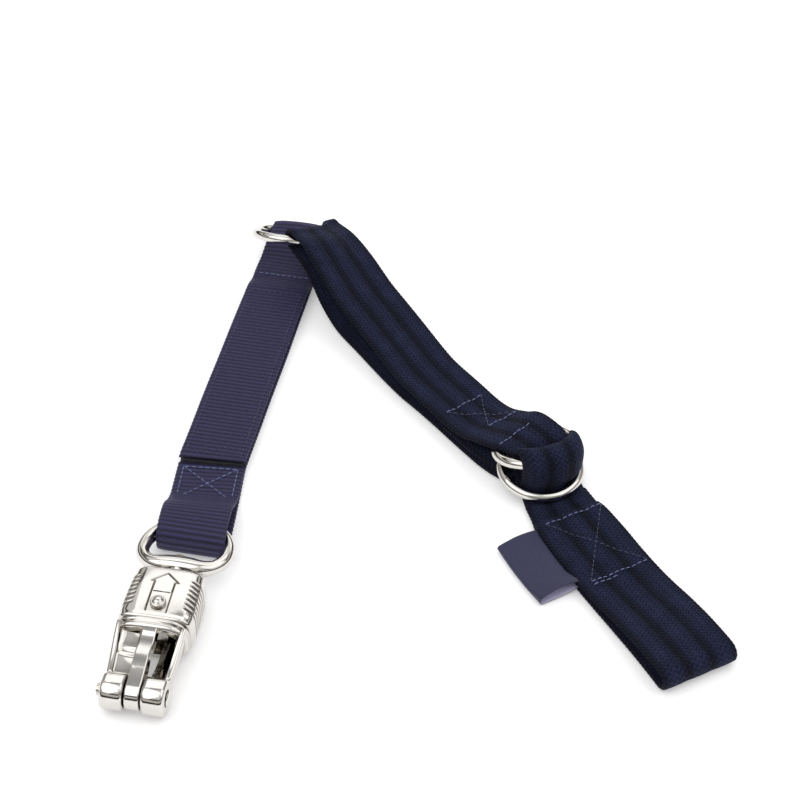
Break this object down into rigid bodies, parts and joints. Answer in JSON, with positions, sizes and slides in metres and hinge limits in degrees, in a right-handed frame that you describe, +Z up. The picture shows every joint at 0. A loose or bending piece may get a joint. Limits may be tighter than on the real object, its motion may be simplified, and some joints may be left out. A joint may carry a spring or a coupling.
{
  "type": "panic snap tie strap",
  "caption": "Horse tie strap with a panic snap, a hook-and-loop breakaway link on a ring, a doubled web cinched by two rings and a sewn end loop with a side tag.",
  "frame": {"origin": "centre of the laid-out strap's bounding box, on the ground it lies on", "axes": "+Z up from the ground, +Y from the open ends of the laid-out V towards the upper ring, +X towards the tail"},
  "size_m": [0.2162, 0.2681, 0.0241],
  "materials": {
    "cotton_web": "matte ribbed",
    "nylon_web": "cross-ribbed, slight sheen",
    "hook_and_loop_tape": "matte",
    "stitching_thread": "slight sheen",
    "nickel_plate": "polished",
    "spring_wire": "drawn",
    "label_cloth": "woven"
  },
  "bodies": {
    "strap": {"cotton_ring_fold": "cotton_web", "cotton_upper_layer": "cotton_web", "cotton_lower_layer": "cotton_web", "cotton_fixed_loop": "cotton_web", "cotton_roll": "cotton_web", "cotton_box_stitch": "stitching_thread"},
    "upper_ring": {"upper_ring": "nickel_plate"},
    "adjuster_ring_lower": {"adjuster_ring_lower": "nickel_plate"},
    "adjuster_ring_upper": {"adjuster_ring_upper": "nickel_plate"},
    "nylon": {"nylon_ring_loop": "nylon_web", "nylon_lower_strap": "nylon_web", "loop_tape": "hook_and_loop_tape", "nylon_box_stitch": "stitching_thread"},
    "flap": {"nylon_flap": "nylon_web", "hook_tape": "hook_and_loop_tape", "tape_stitch": "stitching_thread"},
    "eye": {"snap_eye": "nickel_plate"},
    "snap": {"snap_body": "nickel_plate", "hinge_pin": "nickel_plate", "sleeve_spring": "spring_wire"},
    "sleeve": {"release_sleeve": "nickel_plate", "guide_button": "nickel_plate"},
    "gate": {"gate": "nickel_plate"},
    "tail": {"cotton_tail": "cotton_web", "tail_box_stitch": "stitching_thread"},
    "label": {"label_tag": "label_cloth"}
  },
  "joints": [
    {"name": "upper_ring_turn", "type": "hinge", "parent": "strap", "child": "upper_ring", "pos_m": [-0.0526, 0.1171, 0.0125], "axis": [0.0868, 0.4924, 0.866], "continuous": true},
    {"name": "adjuster_ring_lower_turn", "type": "hinge", "parent": "strap", "child": "adjuster_ring_lower", "pos_m": [0.04478, -0.0159, 0.0063], "axis": [0.0383, -0.0841, 0.9957], "continuous": true},
    {"name": "adjuster_ring_upper_turn", "type": "hinge", "parent": "strap", "child": "adjuster_ring_upper", "pos_m": [0.04255, -0.01099, 0.0124], "axis": [-0.128, 0.2813, 0.9511], "continuous": true},
    {"name": "nylon_swing", "type": "hinge", "parent": "strap", "child": "nylon", "pos_m": [-0.04911, 0.12839, 0.0053], "axis": [0, 0, 1], "range_deg": [-12, 0]},
    {"name": "flap_peel", "type": "hinge", "parent": "nylon", "child": "flap", "pos_m": [-0.05627, 0.09793, 0.0027], "axis": [-0.9803, 0.1977, 0], "range_deg": [0, 90]},
    {"name": "eye_swing", "type": "hinge", "parent": "nylon", "child": "eye", "pos_m": [-0.08108, -0.04443, 0.00493], "axis": [-0.9839, 0.1788, 0], "range_deg": [0, 18]},
    {"name": "snap_swivel", "type": "hinge", "parent": "eye", "child": "snap", "pos_m": [-0.087, -0.077, 0.009], "axis": [-0.1788, -0.9839, 0], "continuous": true},
    {"name": "sleeve_slide", "type": "slide", "parent": "snap", "child": "sleeve", "axis": [0.1994, 0.9799, 0], "range_m": [0, 0.004], "stiffness_N_per_m": 200, "springref_m": -0.006, "deforming": ["sleeve_spring"]},
    {"name": "gate_swing", "type": "hinge", "parent": "snap", "child": "gate", "pos_m": [-0.09594, -0.12619, 0.0072], "axis": [0.9839, -0.1788, 0], "range_deg": [0, 100]},
    {"name": "tail_lift", "type": "hinge", "parent": "strap", "child": "tail", "pos_m": [0.05338, -0.03506, 0.0024], "axis": [-0.8978, -0.4404, 0], "range_deg": [0, 60]},
    {"name": "label_flip", "type": "hinge", "parent": "tail", "child": "label", "pos_m": [0.04889, -0.05918, 0.0036], "axis": [-0.4633, 0.8862, 0], "range_deg": [0, 80]}
  ]
}
